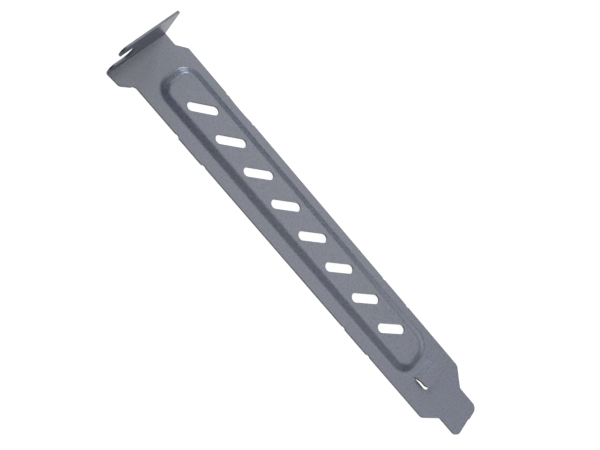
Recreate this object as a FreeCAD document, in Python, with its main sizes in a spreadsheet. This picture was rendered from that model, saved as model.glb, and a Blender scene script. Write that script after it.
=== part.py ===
import FreeCAD, Part
import math
import os
import Sketcher

# An expansion slot cover, stamped from one blank of steel sheet and folded once.
# It lies on its back: X runs from the screw tab to the tongue, Y across the plate, Z up through the tab.
# The sketches measure X from the tab's inner face, Y from the plate's centre line and Z from its back face.

SIZES = {
    # The sheet and the plate, in millimetres and degrees
    "sheet": 0.5,
    "cover_length": 120.02,
    "plate_width": 18.42,
    "neck_corner": 0.5,
    # The screw tab and its fold
    "tab_depth": 10.8,
    "tab_right": 6.82,
    "tab_left": 12.6,
    "tab_tip_corner": 1.5,
    "fold_lean": 2.5,
    "fold_radius": 0.2,
    # The shoulders between the tab and the plate
    "shoulder_left": 12.3,
    "left_shoulder_start": 3.55,
    "left_shoulder_run": 2.5,
    "right_shoulder_start": 3.45,
    "right_shoulder_run": 2.5,
    "shoulder_corner": 1.2,
    # The screw notch, open to one side
    "notch_width": 4.6,
    "notch_depth": 6.3,
    "notch_height": 5.45,
    "mouth_corner": 1.3,
    "finger_short": 0.2,
    "finger_top": 1.5,
    "finger_bottom": 0.9,
    # The tongue, measured back from its end
    "taper_start": 10.92,
    "taper_run": 4.1,
    "tongue_width": 10.5,
    "edge_corner": 1.7,
    "root_corner": 0.9,
    "tongue_step": 0.2,
    "tongue_kink": 1.1,
    # The raised panel
    "panel_length": 91.8,
    "panel_width": 12.75,
    "panel_middle": 53.95,
    "panel_offset": 0.475,
    "panel_height": 0.78,
    "panel_corner": 4.7,
    "wall_angle": 22.0,
    "foot_radius": 1.8,
    "crown_radius": 2.2,
    # The slanted vents
    "vent_length": 8.1,
    "vent_width": 2.42,
    "vent_angle": 45.0,
    "vent_middle": 53.88,
    "vent_offset": 0.5,
    "vent_pitch": 9.96,
    "vent_count": 8,
    # The lanced flap and the fine slit round three of its sides
    "flap_gap": 1.55,
    "flap_left": 3.15,
    "flap_right": 3.5,
    "flap_length": 4.6,
    "flap_lift": 1.1,
    "flap_slope": 32.0,
    "flap_bend": 0.3,
    "flap_corner": 1.7,
    "slit": 0.15,
    "slit_bend": 1.2,
    # The marks left where the blank was cut from its strip
    "first_bridge": 24.65,
    "second_bridge": 84.15,
    "bridge_length": 9.3,
    "first_stub": 0.25,
    "second_stub": 0.12,
    "scoop_depth": 0.22,
    "nick_radius": 0.9,
    "nick_depth": 0.18,
    "neck_nick_ahead": 0.12,
    "neck_nick_out": 1.0,
    # How far the cutting shapes reach past the sheet
    "cut_margin": 4.0,
}


class Size:
    """A size as a number, for drawing, and as a formula, for binding to the spreadsheet."""

    def __init__(self, value, formula):
        self.value = value
        self.formula = formula

    def __add__(self, other):
        return Size(self.value + other.value, f"({self.formula} + {other.formula})")

    def __sub__(self, other):
        return Size(self.value - other.value, f"({self.formula} - {other.formula})")

    def __mul__(self, other):
        return Size(self.value * other.value, f"({self.formula} * {other.formula})")

    def __truediv__(self, other):
        return Size(self.value / other.value, f"({self.formula} / {other.formula})")

    def __neg__(self):
        return Size(-self.value, f"(-{self.formula})")


def plain(number):
    return Size(number, str(number))


def sin_of(angle):
    return Size(math.sin(math.radians(angle.value)), f"sin({angle.formula})")


def cos_of(angle):
    return Size(math.cos(math.radians(angle.value)), f"cos({angle.formula})")


def tan_of(angle):
    return Size(math.tan(math.radians(angle.value)), f"tan({angle.formula})")


doc = FreeCAD.newDocument("slot_cover")
spreadsheet = doc.addObject("Spreadsheet::Sheet", "Sizes")
size = {}
for row, (name, value) in enumerate(SIZES.items(), 1):
    spreadsheet.set(f"A{row}", str(value))
    spreadsheet.setAlias(f"A{row}", name)
    size[name] = Size(value, f"Sizes.{name}")
doc.recompute()

body = doc.addObject("PartDesign::Body", "slot_cover")
body.Label = "slot_cover"

ONE = plain(1)
TWO = plain(2)
ORIGIN = -1
START, END, CENTRE = 1, 2, 3


# Sketch helpers

def new_sketch(name, role, height=None):
    """Makes a sketch on one of the body's own planes, raised by height where one is given."""
    sketch = body.newObject("Sketcher::SketchObject", name)
    plane = [feature for feature in body.Origin.OriginFeatures if feature.Role == role][0]
    sketch.AttachmentSupport = [(plane, "")]
    sketch.MapMode = "FlatFace"
    if height is not None:
        sketch.setExpression("AttachmentOffset.Base.z", height.formula)
    return sketch


def bind_constraint(sketch, constraint, distance):
    index = sketch.addConstraint(constraint)
    sketch.setExpression(f"Constraints[{index}]", distance.formula)


def pin(sketch, geometry, point, place):
    """Holds one point of a sketch at its place from the origin."""
    for kind, distance in zip(("DistanceX", "DistanceY"), place):
        constraint = Sketcher.Constraint(kind, ORIGIN, START, geometry, point, distance.value)
        bind_constraint(sketch, constraint, distance)


def vector(place):
    return FreeCAD.Vector(place[0].value, place[1].value, 0)


def draw_polygon(sketch, corners):
    """Draws a closed outline of straight edges, each corner held in place."""
    ends = corners[1:] + corners[:1]
    lines = [sketch.addGeometry(Part.LineSegment(vector(a), vector(b))) for a, b in zip(corners, ends)]
    for step, corner in enumerate(corners):
        sketch.addConstraint(Sketcher.Constraint("Coincident", lines[step - 1], END, lines[step], START))
        pin(sketch, lines[step], START, corner)


def draw_circle(sketch, centre, radius):
    circle = sketch.addGeometry(Part.Circle(vector(centre), FreeCAD.Vector(0, 0, 1), radius.value))
    pin(sketch, circle, CENTRE, centre)
    bind_constraint(sketch, Sketcher.Constraint("Radius", circle, radius.value), radius)


def draw_rounded(sketch, centres, radius):
    """Draws the outline that wraps equal circles at the given centres, taken anticlockwise."""
    points = [vector(centre) for centre in centres]
    steps = [b - a for a, b in zip(points, points[1:] + points[:1])]
    headings = [math.atan2(step.y, step.x) - math.pi / 2 for step in steps]
    arcs = []
    for index, point in enumerate(points):
        circle = Part.Circle(point, FreeCAD.Vector(0, 0, 1), radius.value)
        turn = (headings[index] - headings[index - 1]) % (2 * math.pi)
        arc = Part.ArcOfCircle(circle, headings[index - 1], headings[index - 1] + turn)
        arcs.append(sketch.addGeometry(arc))
        pin(sketch, arcs[index], CENTRE, centres[index])
    for arc, following in zip(arcs, arcs[1:] + arcs[:1]):
        side = Part.LineSegment(sketch.getPoint(arc, END), sketch.getPoint(following, START))
        line = sketch.addGeometry(side)
        sketch.addConstraint(Sketcher.Constraint("Tangent", arc, END, line, START))
        sketch.addConstraint(Sketcher.Constraint("Tangent", line, END, following, START))
    for arc in arcs[1:]:
        sketch.addConstraint(Sketcher.Constraint("Equal", arcs[0], arc))
    bind_constraint(sketch, Sketcher.Constraint("Radius", arcs[0], radius.value), radius)


def rectangle(low, high):
    return [low, (high[0], low[1]), high, (low[0], high[1])]


# Feature helpers

def new_pad(name, sketch, length, symmetric=False, taper=None):
    pad = body.newObject("PartDesign::Pad", name)
    pad.Profile = sketch
    pad.setExpression("Length", length.formula)
    if symmetric:
        pad.SideType = "Symmetric"
    if taper is not None:
        pad.setExpression("TaperAngle", taper.formula)
    doc.recompute()
    return pad


def cut_through(name, sketch):
    pocket = body.newObject("PartDesign::Pocket", name)
    pocket.Profile = sketch
    pocket.Type = "ThroughAll"
    pocket.SideType = "Symmetric"
    doc.recompute()
    return pocket


def round_edges(name, radius, wanted):
    """Rounds the edges of the body that the wanted test picks."""
    base = body.Tip
    chosen = [f"Edge{number}" for number, edge in enumerate(base.Shape.Edges, 1) if wanted(edge)]
    fillet = body.newObject("PartDesign::Fillet", name)
    fillet.Base = (base, chosen)
    fillet.setExpression("Radius", radius.formula)
    doc.recompute()


NEAR = 0.001


def close(number, target):
    return abs(number - target) < NEAR


def upright_at(places):
    """Picks the edges that stand along Z at any of the given X, Y places."""
    def wanted(edge):
        box = edge.BoundBox
        flat = close(box.XLength, 0) and close(box.YLength, 0)
        return flat and any(close(box.XMin, x.value) and close(box.YMin, y.value) for x, y in places)
    return wanted


def across_at(places):
    """Picks the straight edges that run along Y at any of the given X, Z places."""
    def wanted(edge):
        box = edge.BoundBox
        straight = close(box.XLength, 0) and close(box.ZLength, 0)
        return straight and any(close(box.XMin, x.value) and close(box.ZMin, z.value) for x, z in places)
    return wanted


def loop_at(height, low, high):
    """Picks the level edges at a height that lie inside a rectangle of X and Y."""
    def wanted(edge):
        box = edge.BoundBox
        level = close(box.ZMin, height.value) and close(box.ZMax, height.value)
        inside_x = low[0].value < box.XMin and box.XMax < high[0].value
        inside_y = low[1].value < box.YMin and box.YMax < high[1].value
        return level and inside_x and inside_y
    return wanted


# Places that several features share

zero = plain(0)
sheet = size["sheet"]
half_plate = size["plate_width"] / TWO
half_tongue = size["tongue_width"] / TWO
tongue_end = size["cover_length"]
taper_place = tongue_end - size["taper_start"]
taper_end = taper_place + size["taper_run"]
lean_sin = sin_of(size["fold_lean"])
lean_cos = cos_of(size["fold_lean"])
tab_reach = size["tab_depth"] - sheet


def on_tab(along, away):
    """X and Z of a point of the tab, along it from the fold and away from its inner face."""
    x = -(along * lean_sin) - away * lean_cos
    z = sheet + along * lean_cos - away * lean_sin
    return x, z


# The folded sheet: one section through plate, fold and tab, as wide as the widest stretch

fold_outside = (-(sheet * (ONE - lean_sin) / lean_cos), zero)
fold_inside = (zero, sheet)
tab_tip_inside = on_tab(tab_reach, zero)
tab_tip_outside = on_tab(tab_reach, sheet)

section = new_sketch("folded_section", "XZ_Plane")
draw_polygon(section, [
    fold_outside,
    (tongue_end, zero),
    (tongue_end, sheet),
    fold_inside,
    tab_tip_inside,
    tab_tip_outside,
])
new_pad("folded_sheet", section, size["tab_left"] * TWO, symmetric=True)
round_edges("fold_inside", size["fold_radius"], across_at([fold_inside]))
round_edges("fold_outside", size["fold_radius"] + sheet, across_at([fold_outside]))

# The raised panel: drawn up from the back, with one wall thickness all round and soft bends

half_angle = size["wall_angle"] / TWO
wall_run = size["panel_height"] / tan_of(size["wall_angle"])
wall_taper = size["wall_angle"] - plain(90)
back_inset = sheet * tan_of(half_angle)


def panel_outline(sketch, inset):
    """Draws the panel's foot outline, moved inwards by inset."""
    reach_x = size["panel_length"] / TWO - size["panel_corner"]
    reach_y = size["panel_width"] / TWO - size["panel_corner"]
    left = size["panel_middle"] - reach_x
    right = size["panel_middle"] + reach_x
    low = size["panel_offset"] - reach_y
    high = size["panel_offset"] + reach_y
    draw_rounded(sketch, rectangle((left, low), (right, high)), size["panel_corner"] - inset)


panel_front = new_sketch("panel_front", "XY_Plane", sheet)
panel_outline(panel_front, zero)
new_pad("raised_panel", panel_front, size["panel_height"], taper=wall_taper)

panel_back = new_sketch("panel_back", "XY_Plane")
panel_outline(panel_back, back_inset)
hollow = body.newObject("PartDesign::Pocket", "panel_hollow")
hollow.Profile = panel_back
hollow.Reversed = True
hollow.setExpression("Length", size["panel_height"].formula)
hollow.setExpression("TaperAngle", wall_taper.formula)
doc.recompute()

panel_half_length = size["panel_length"] / TWO + ONE
panel_low = (size["panel_middle"] - panel_half_length, -half_plate)
panel_high = (size["panel_middle"] + panel_half_length, half_plate)
panel_top = sheet + size["panel_height"]
round_edges("panel_crown", size["crown_radius"], loop_at(panel_top, panel_low, panel_high))
round_edges("panel_foot", size["foot_radius"], loop_at(sheet, panel_low, panel_high))
hollow_top = size["panel_height"]
round_edges("hollow_crown", size["crown_radius"] - sheet, loop_at(hollow_top, panel_low, panel_high))
round_edges("hollow_foot", size["foot_radius"] + sheet, loop_at(zero, panel_low, panel_high))

# The slanted vents, spread evenly about their own middle

vent_radius = size["vent_width"] / TWO
vent_half = size["vent_length"] / TWO - vent_radius
vent_step_x = vent_half * cos_of(size["vent_angle"])
vent_step_y = vent_half * sin_of(size["vent_angle"])
first_vent = size["vent_middle"] - size["vent_pitch"] * (size["vent_count"] - ONE) / TWO

vent = new_sketch("vent", "XY_Plane")
draw_rounded(vent, [
    (first_vent - vent_step_x, size["vent_offset"] - vent_step_y),
    (first_vent + vent_step_x, size["vent_offset"] + vent_step_y),
], vent_radius)
first_cut = cut_through("first_vent", vent)

vents = body.newObject("PartDesign::LinearPattern", "vents")
vents.Originals = [first_cut]
vents.Direction = (vent, ["H_Axis"])
vents.Mode = "Spacing"
vents.setExpression("Offset", size["vent_pitch"].formula)
vents.setExpression("Occurrences", size["vent_count"].formula)
body.Tip = vents
doc.recompute()

# The lanced flap: a window in the plate, and a leaf of the same sheet that rises out of it

flap_hinge = size["panel_middle"] + size["panel_length"] / TWO + size["flap_gap"]
flap_end = flap_hinge + size["flap_length"]
flap_step = flap_hinge + size["flap_lift"] / tan_of(size["flap_slope"])
flap_inset = sheet * tan_of(size["flap_slope"] / TWO)
flap_top = size["flap_lift"] + sheet
window_start = flap_hinge - size["flap_bend"]
window_end = flap_end + size["slit"]
window_left = -(size["flap_left"] + size["slit"])
window_right = size["flap_right"] + size["slit"]
flap_root = window_start - sheet

window = new_sketch("flap_window", "XY_Plane")
draw_polygon(window, rectangle((window_start, window_left), (window_end, window_right)))
cut_through("flap_window_cut", window)
round_edges("slit_bend", size["slit_bend"], upright_at([(window_end, window_left)]))
round_edges("slit_turn", size["flap_corner"] + size["slit"], upright_at([(window_end, window_right)]))

lower_outside = (flap_hinge, zero)
lower_inside = (flap_hinge - flap_inset, sheet)
upper_inside = (flap_step, size["flap_lift"])
upper_outside = (flap_step - flap_inset, flap_top)

flap_width = size["flap_left"] + size["flap_right"]
flap_shift = (size["flap_left"] - size["flap_right"]) / TWO
flap = new_sketch("flap_section", "XZ_Plane", flap_shift)
draw_polygon(flap, [
    (flap_root, zero),
    lower_outside,
    upper_inside,
    (flap_end, size["flap_lift"]),
    (flap_end, flap_top),
    upper_outside,
    lower_inside,
    (flap_root, sheet),
])
new_pad("flap", flap, flap_width, symmetric=True)
round_edges("bend_insides", size["flap_bend"], across_at([lower_inside, upper_inside]))
round_edges("bend_outsides", size["flap_bend"] + sheet, across_at([lower_outside, upper_outside]))
flap_tips = [(flap_end, -size["flap_left"]), (flap_end, size["flap_right"])]
round_edges("flap_corners", size["flap_corner"], upright_at(flap_tips))

# The plan outline: everything outside it is cut away, so it also sets the tab's two sides

beyond = size["cut_margin"]
left_end = size["left_shoulder_start"] + size["left_shoulder_run"]
right_end = size["right_shoulder_start"] + size["right_shoulder_run"]
tab_far = tab_tip_outside[0] - beyond
tongue_far = tongue_end + beyond
outer_reach = size["tab_left"] + beyond

left_shoulder = (size["left_shoulder_start"], -size["shoulder_left"])
left_neck = (left_end, -half_plate)
right_shoulder = (size["right_shoulder_start"], size["tab_right"])
right_neck = (right_end, half_plate)
necks = [left_neck, right_shoulder, right_neck]
taper_corners = [(taper_place, -half_plate), (taper_place, half_plate)]
tongue_roots = [(taper_end, -half_tongue), (taper_end, half_tongue)]
tongue_short = tongue_end - size["tongue_step"]
tongue_tips = [(tongue_short, -half_tongue), (tongue_end, half_tongue)]

plan = new_sketch("plan_outline", "XY_Plane")
draw_polygon(plan, rectangle((tab_far - beyond, -outer_reach), (tongue_far + beyond, outer_reach)))
draw_polygon(plan, [
    (tab_far, -size["tab_left"]),
    (zero, -size["tab_left"]),
    left_shoulder,
    left_neck,
    taper_corners[0],
    tongue_roots[0],
    tongue_tips[0],
    (tongue_short, size["tongue_kink"] - size["tongue_step"]),
    (tongue_end, size["tongue_kink"]),
    (tongue_far, size["tongue_kink"]),
    (tongue_far, half_tongue),
    tongue_roots[1],
    taper_corners[1],
    right_neck,
    right_shoulder,
    (tab_far, size["tab_right"]),
])
cut_through("plan_cut", plan)
round_edges("edge_corners", size["edge_corner"], upright_at(tongue_tips + taper_corners))
round_edges("root_corners", size["root_corner"], upright_at(tongue_roots))
round_edges("shoulder_corner", size["shoulder_corner"], upright_at([left_shoulder]))
round_edges("neck_corners", size["neck_corner"], upright_at(necks))

# The screw notch, and the rounded ends of the tab

notch_radius = size["notch_width"] / TWO
notch_middle = size["notch_depth"] - notch_radius - size["tab_left"]
notch_level = sheet + (size["notch_height"] - sheet) * lean_cos
notch_mouth = -(size["tab_left"] + beyond)

notch = new_sketch("screw_notch", "YZ_Plane")
draw_rounded(notch, [(notch_mouth, notch_level), (notch_middle, notch_level)], notch_radius)
cut_through("screw_notch_cut", notch)

finger_side = size["finger_short"] - size["tab_left"]
finger = new_sketch("finger_end", "YZ_Plane")
draw_polygon(finger, rectangle((notch_mouth, notch_level), (finger_side, size["tab_depth"] + beyond)))
cut_through("finger_end_cut", finger)


def tab_corner(side, level):
    """Picks the edge through the tab's thickness at one side and at one height of its inner face."""
    def wanted(edge):
        box = edge.BoundBox
        short = close(edge.Length, sheet.value) and close(box.YLength, 0)
        return short and close(box.YMin, side.value) and close(box.ZMax, level.value)
    return wanted


tab_top = tab_tip_inside[1]
round_edges("tab_tip_corner", size["tab_tip_corner"], tab_corner(size["tab_right"], tab_top))
notch_bottom = notch_level - notch_radius
notch_top = notch_level + notch_radius
round_edges("mouth_corner", size["mouth_corner"], tab_corner(-size["tab_left"], notch_bottom))
round_edges("finger_top_corner", size["finger_top"], tab_corner(finger_side, tab_top))
round_edges("finger_bottom_corner", size["finger_bottom"], tab_corner(finger_side, notch_top))

# The marks of the strip: nicks beside each bridge and at one neck, stubs of the bridges, and one scoop

bridges = [size["first_bridge"], size["second_bridge"]]
half_bridge = size["bridge_length"] / TWO
nick_line = half_plate + size["nick_radius"] - size["nick_depth"]
nick_places = [(left_end + size["neck_nick_ahead"], -(half_plate + size["neck_nick_out"]))]
for bridge in bridges:
    for side in (nick_line, -nick_line):
        nick_places.append((bridge - half_bridge, side))
        nick_places.append((bridge + half_bridge, side))

stubs = new_sketch("bridge_stubs", "XY_Plane")
for bridge, stub in zip(bridges, (size["first_stub"], size["second_stub"])):
    draw_polygon(stubs, rectangle(
        (bridge - half_bridge, -(half_plate + stub)),
        (bridge + half_bridge, sheet - half_plate),
    ))
new_pad("stubs", stubs, sheet)

scoop_depth = size["scoop_depth"]
scoop_radius = (half_bridge * half_bridge + scoop_depth * scoop_depth) / (TWO * scoop_depth)
scoop = new_sketch("scoop", "XY_Plane")
draw_circle(scoop, (size["first_bridge"], half_plate + scoop_radius - scoop_depth), scoop_radius)
cut_through("scoop_cut", scoop)

nicks = new_sketch("nicks", "XY_Plane")
for place in nick_places:
    draw_circle(nicks, place, size["nick_radius"])
cut_through("nick_cuts", nicks)

# The frame's origin is the middle of the part's footprint

middle_x = (tongue_end + tab_tip_outside[0]) / TWO
middle_y = (half_plate - size["tab_left"]) / TWO
body.setExpression("Placement.Base.x", (-middle_x).formula)
body.setExpression("Placement.Base.y", (-middle_y).formula)
doc.recompute()

for item in doc.Objects:
    if "Invalid" in item.State or "Error" in item.State:
        raise RuntimeError(f"{item.Name} did not build: {item.State}")
shape = body.Shape
if shape.isNull() or not shape.isValid() or len(shape.Solids) != 1:
    raise RuntimeError("slot_cover is not one valid solid")
os.makedirs("parts", exist_ok=True)
shape.exportStep(f"parts/{body.Label}.step")
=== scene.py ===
import bmesh
import bpy
import math
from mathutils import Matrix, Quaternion, Vector


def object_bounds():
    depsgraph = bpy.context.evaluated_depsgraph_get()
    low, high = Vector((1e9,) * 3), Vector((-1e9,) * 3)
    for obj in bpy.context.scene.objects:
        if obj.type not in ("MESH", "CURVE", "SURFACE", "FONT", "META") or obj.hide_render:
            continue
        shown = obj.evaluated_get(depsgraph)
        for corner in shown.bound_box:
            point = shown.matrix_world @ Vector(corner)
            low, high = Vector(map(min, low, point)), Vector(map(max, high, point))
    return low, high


# An expansion slot cover of folded sheet, finished in fine textured grey paint.
# It lies on its back on a pale floor, seen from above and from the notch's open side.

MM = 0.001

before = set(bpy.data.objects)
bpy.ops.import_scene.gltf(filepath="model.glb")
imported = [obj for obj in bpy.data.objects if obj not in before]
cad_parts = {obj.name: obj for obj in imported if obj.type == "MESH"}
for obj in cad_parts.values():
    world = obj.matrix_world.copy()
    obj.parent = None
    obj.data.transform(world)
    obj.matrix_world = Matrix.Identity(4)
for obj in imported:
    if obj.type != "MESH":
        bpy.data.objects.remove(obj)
cad_low, cad_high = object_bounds()
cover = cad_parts["slot_cover"]
middle = (cad_low + cad_high) / 2


# Node helpers

def add_node(tree, kind, **inputs):
    """Adds a node and sets the inputs that are named, with spaces written as underscores."""
    node = tree.nodes.new(kind)
    for name, value in inputs.items():
        node.inputs[name.replace("_", " ")].default_value = value
    return node


def noise_at(tree, place, size, detail):
    """A noise whose features are about as large as the given size."""
    noise = add_node(tree, "ShaderNodeTexNoise", Scale=1 / size, Detail=detail)
    tree.links.new(place, noise.inputs["Vector"])
    return noise.outputs["Fac"]


def stretch(tree, value, low, high, start, end):
    """Maps the values from low to high onto the values from start to end."""
    span = add_node(tree, "ShaderNodeMapRange", From_Min=low, From_Max=high, To_Min=start, To_Max=end)
    tree.links.new(value, span.inputs["Value"])
    return span.outputs["Result"]


def arithmetic(tree, operation, first, second):
    """Joins two values by one of the Math node's operations."""
    node = tree.nodes.new("ShaderNodeMath")
    node.operation = operation
    tree.links.new(first, node.inputs[0])
    tree.links.new(second, node.inputs[1])
    return node.outputs["Value"]


# The colour sockets of a Mix node, which has others of the same names
MIX_SHARE = 0
MIX_FIRST = 6
MIX_SECOND = 7
MIX_RESULT = 2


def blend(tree, share, first, second):
    """Mixes two colours, each a plain colour or another node's output."""
    node = tree.nodes.new("ShaderNodeMix")
    node.data_type = "RGBA"
    tree.links.new(share, node.inputs[MIX_SHARE])
    for number, colour in ((MIX_FIRST, first), (MIX_SECOND, second)):
        socket = node.inputs[number]
        if isinstance(colour, bpy.types.NodeSocket):
            tree.links.new(colour, socket)
        else:
            socket.default_value = colour
    return node.outputs[MIX_RESULT]


# The paint: a bluish grey coat with a fine sandy texture and faint clouds of lilac

PAINT_GREY = (0.098, 0.109, 0.121, 1)
PAINT_LILAC = (0.103, 0.103, 0.136, 1)
PAINT_SPECK_DARK = (0.72, 0.72, 0.74, 1)
PAINT_SPECK_PALE = (1.24, 1.24, 1.24, 1)
PAINT_ROUGHNESS = (0.27, 0.35)
PAINT_IOR = 1.65
CLOUD_SIZE = 4 * MM
CLOUD_DETAIL = 3
CLOUD_SPAN = (0.35, 0.65)
SPECK_SIZE = 0.5 * MM
SPECK_DETAIL = 2
SPECK_SPAN = (0.3, 0.7)
GRAIN_SIZE = 0.35 * MM
GRAIN_DETAIL = 2
GRAIN_HEIGHT = 0.025 * MM


def textured_paint():
    """Two shades of grey in clouds, specked darker and paler, with a fine raised grain."""
    paint = bpy.data.materials.new("grey_paint")
    paint.use_nodes = True
    tree = paint.node_tree
    shader = tree.nodes["Principled BSDF"]
    shader.inputs["IOR"].default_value = PAINT_IOR
    place = tree.nodes.new("ShaderNodeTexCoord").outputs["Object"]
    cloud = stretch(tree, noise_at(tree, place, CLOUD_SIZE, CLOUD_DETAIL), *CLOUD_SPAN, 0, 1)
    speck = stretch(tree, noise_at(tree, place, SPECK_SIZE, SPECK_DETAIL), *SPECK_SPAN, 0, 1)
    grain = noise_at(tree, place, GRAIN_SIZE, GRAIN_DETAIL)

    coat = blend(tree, cloud, PAINT_GREY, PAINT_LILAC)
    specks = blend(tree, speck, PAINT_SPECK_DARK, PAINT_SPECK_PALE)
    colour = tree.nodes.new("ShaderNodeVectorMath")
    colour.operation = "MULTIPLY"
    tree.links.new(coat, colour.inputs[0])
    tree.links.new(specks, colour.inputs[1])
    tree.links.new(colour.outputs["Vector"], shader.inputs["Base Color"])
    tree.links.new(stretch(tree, speck, 0, 1, *PAINT_ROUGHNESS), shader.inputs["Roughness"])

    bump = add_node(tree, "ShaderNodeBump", Distance=GRAIN_HEIGHT, Strength=1)
    tree.links.new(grain, bump.inputs["Height"])
    tree.links.new(bump.outputs["Normal"], shader.inputs["Normal"])
    return paint


cover.data.materials.clear()
cover.data.materials.append(textured_paint())


# The floor: white with faint shadows where it is looked at, and grey where it throws light back.
# Its far edges turn up a little, so that low views end in white and not in the sky.

FLOOR_REACH = 4000 * MM
FLOOR_RIM = 200 * MM
FLOOR_GAP = 0.02 * MM
FLOOR_GLOW = 0.95
FLOOR_SEEN = (0.12, 0.12, 0.12, 1)
FLOOR_BOUNCE = (0.06, 0.06, 0.06, 1)


def floor_paint():
    """White glow plus shading for the camera and for mirrored rays, and dull grey for the rest."""
    pale = bpy.data.materials.new("floor")
    pale.use_nodes = True
    tree = pale.node_tree
    tree.nodes.remove(tree.nodes["Principled BSDF"])
    path = tree.nodes.new("ShaderNodeLightPath").outputs
    mirrored = arithmetic(tree, "MAXIMUM", path["Is Glossy Ray"], path["Is Transmission Ray"])
    seen = arithmetic(tree, "MAXIMUM", path["Is Camera Ray"], mirrored)

    glow = add_node(tree, "ShaderNodeEmission", Strength=FLOOR_GLOW)
    shaded = add_node(tree, "ShaderNodeBsdfDiffuse", Color=FLOOR_SEEN)
    white = tree.nodes.new("ShaderNodeAddShader")
    tree.links.new(glow.outputs["Emission"], white.inputs[0])
    tree.links.new(shaded.outputs["BSDF"], white.inputs[1])
    bounce = add_node(tree, "ShaderNodeBsdfDiffuse", Color=FLOOR_BOUNCE)
    mix = tree.nodes.new("ShaderNodeMixShader")
    tree.links.new(seen, mix.inputs["Fac"])
    tree.links.new(bounce.outputs["BSDF"], mix.inputs[1])
    tree.links.new(white.outputs["Shader"], mix.inputs[2])
    tree.links.new(mix.outputs["Shader"], tree.nodes["Material Output"].inputs["Surface"])
    return pale


def dished_sheet(reach, bottom, rim):
    """A level square sheet whose four edges are drawn up into a low rim."""
    shape = bmesh.new()
    bmesh.ops.create_grid(shape, x_segments=1, y_segments=1, size=reach)
    bmesh.ops.translate(shape, verts=shape.verts[:], vec=(0, 0, bottom))
    drawn = bmesh.ops.extrude_edge_only(shape, edges=shape.edges[:])
    rim_corners = [item for item in drawn["geom"] if isinstance(item, bmesh.types.BMVert)]
    bmesh.ops.translate(shape, verts=rim_corners, vec=(0, 0, rim))
    mesh = bpy.data.meshes.new("floor")
    shape.to_mesh(mesh)
    shape.free()
    return mesh


floor = bpy.data.objects.new("floor", dished_sheet(FLOOR_REACH, cad_low.z - FLOOR_GAP, FLOOR_RIM))
bpy.context.scene.collection.objects.link(floor)
floor.data.materials.append(floor_paint())


# The light: a broad key and a narrower side box that the flat of the plate mirrors, a small window and
# a back light beyond the tab, a low fill beside the tongue, a dim overhead panel and an even sky

LIGHT_DISTANCE = 600 * MM
SKY = (0.065, 0.085, 0.115, 1)
SOFTBOXES = {
    # name: compass angle from +X and height in degrees, size across and up in mm, colour, radiance
    "key": (88, 57, (450, 520), (1.0, 1.0, 1.04), 2.46),
    "side": (37, 48, (230, 420), (0.98, 1.0, 1.13), 1.9),
    "window": (125, 28.5, (100, 160), (0.83, 0.94, 1.1), 18.5),
    "fill": (55, 11, (400, 190), (0.96, 0.98, 1.06), 1.6),
    "overhead": (-31, 67, (460, 440), (0.94, 0.97, 1.06), 0.94),
    "back": (165, 28, (360, 300), (1.0, 0.98, 1.0), 3.6),
}


def hang_softbox(name, compass, height, size, colour, radiance):
    """Hangs a flat lamp at one distance from the part, turned to face it."""
    lamp = bpy.data.lights.new(name, "AREA")
    lamp.shape = "RECTANGLE"
    lamp.size = size[0] * MM
    lamp.size_y = size[1] * MM
    lamp.color = colour
    lamp.energy = radiance * math.pi * lamp.size * lamp.size_y
    box = bpy.data.objects.new(name, lamp)
    bpy.context.scene.collection.objects.link(box)
    turn, rise = math.radians(compass), math.radians(height)
    way = Vector((math.cos(rise) * math.cos(turn), math.cos(rise) * math.sin(turn), math.sin(rise)))
    box.location = middle + way * LIGHT_DISTANCE
    box.rotation_mode = "QUATERNION"
    box.rotation_quaternion = (-way).to_track_quat("-Z", "Y")


for name, softbox in SOFTBOXES.items():
    hang_softbox(name, *softbox)

world = bpy.data.worlds.new("sky")
bpy.context.scene.world = world
world.use_nodes = True
world.node_tree.nodes["Background"].inputs["Color"].default_value = SKY


# The camera, above the notch's open side and rolled as the photograph was

CAMERA_PLACE = Vector((-33.89, -115.27, 166.26)) * MM
CAMERA_AIM = Vector((-4.82, 2.10, 0.5)) * MM
CAMERA_ROLL = math.radians(60.78)
CAMERA_LENS = 51.44
CAMERA_NEAR = 10 * MM

lens = bpy.data.cameras.new("camera")
lens.lens = CAMERA_LENS
lens.clip_start = CAMERA_NEAR
camera = bpy.data.objects.new("camera", lens)
bpy.context.scene.collection.objects.link(camera)
bpy.context.scene.camera = camera
camera.location = CAMERA_PLACE
camera.rotation_mode = "QUATERNION"
level = (CAMERA_AIM - CAMERA_PLACE).to_track_quat("-Z", "Y")
camera.rotation_quaternion = level @ Quaternion((0, 0, 1), CAMERA_ROLL)

bpy.context.scene.view_settings.view_transform = "Standard"
